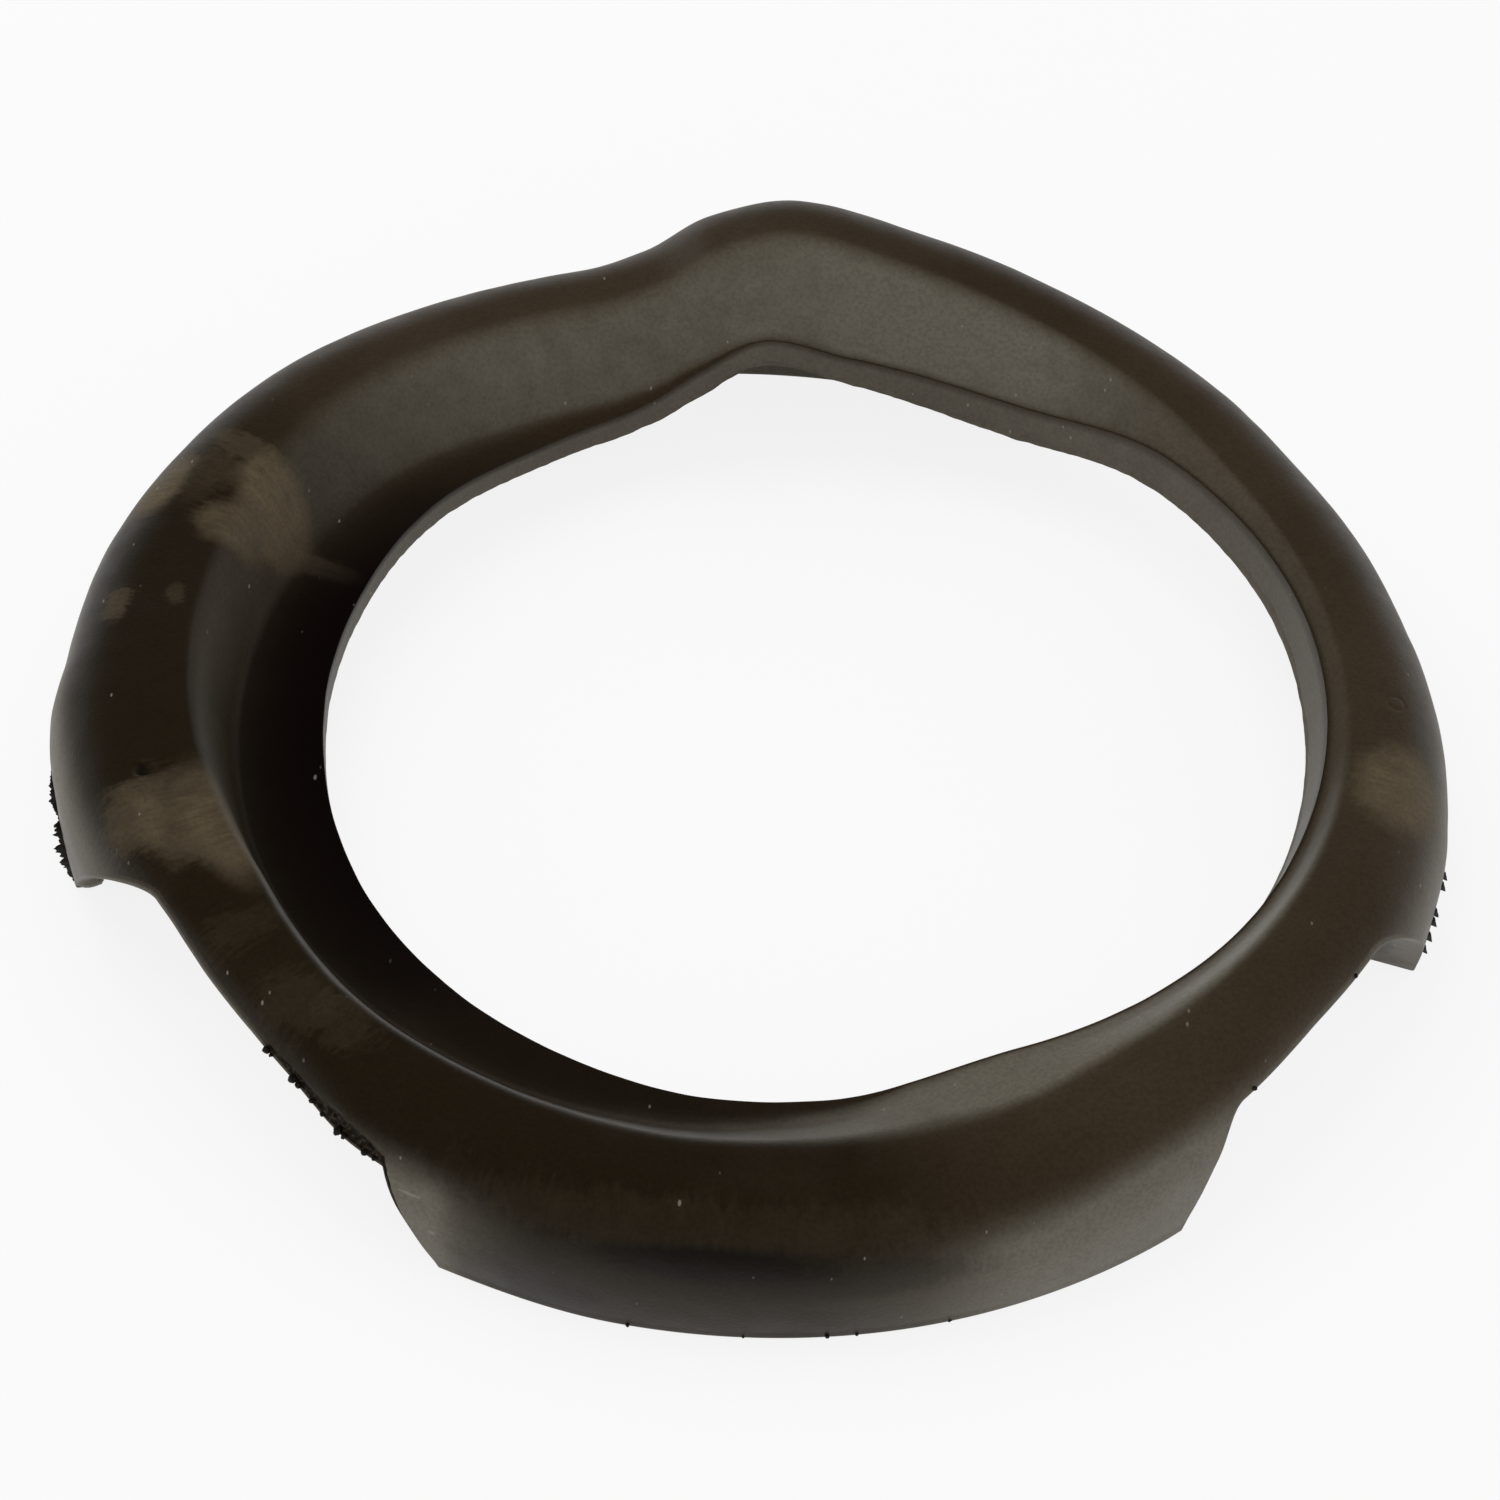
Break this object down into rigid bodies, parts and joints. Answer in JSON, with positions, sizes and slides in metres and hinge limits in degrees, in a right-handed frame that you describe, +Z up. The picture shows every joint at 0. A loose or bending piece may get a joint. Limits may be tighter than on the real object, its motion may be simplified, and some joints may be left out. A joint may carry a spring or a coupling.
{
  "type": "coil spring insulator",
  "caption": "Moulded rubber ring that cushions the end of a coil spring: a climbing seat with a step where the coil ends, a round hole, and a skirt cut into lobes.",
  "frame": {"origin": "on the floor that the lobes stand on, on the axis of the outer skirt", "axes": "+Z up, along the spring's axis, away from the floor; the step in the seat is near +Y, and the picture was taken from -Y"},
  "size_m": [0.1695, 0.1708, 0.0323],
  "materials": {
    "rubber": "matte to satin moulded rubber, scuffed and faintly dusty"
  },
  "bodies": {
    "root": {"coil_spring_insulator": "rubber"}
  },
  "joints": []
}
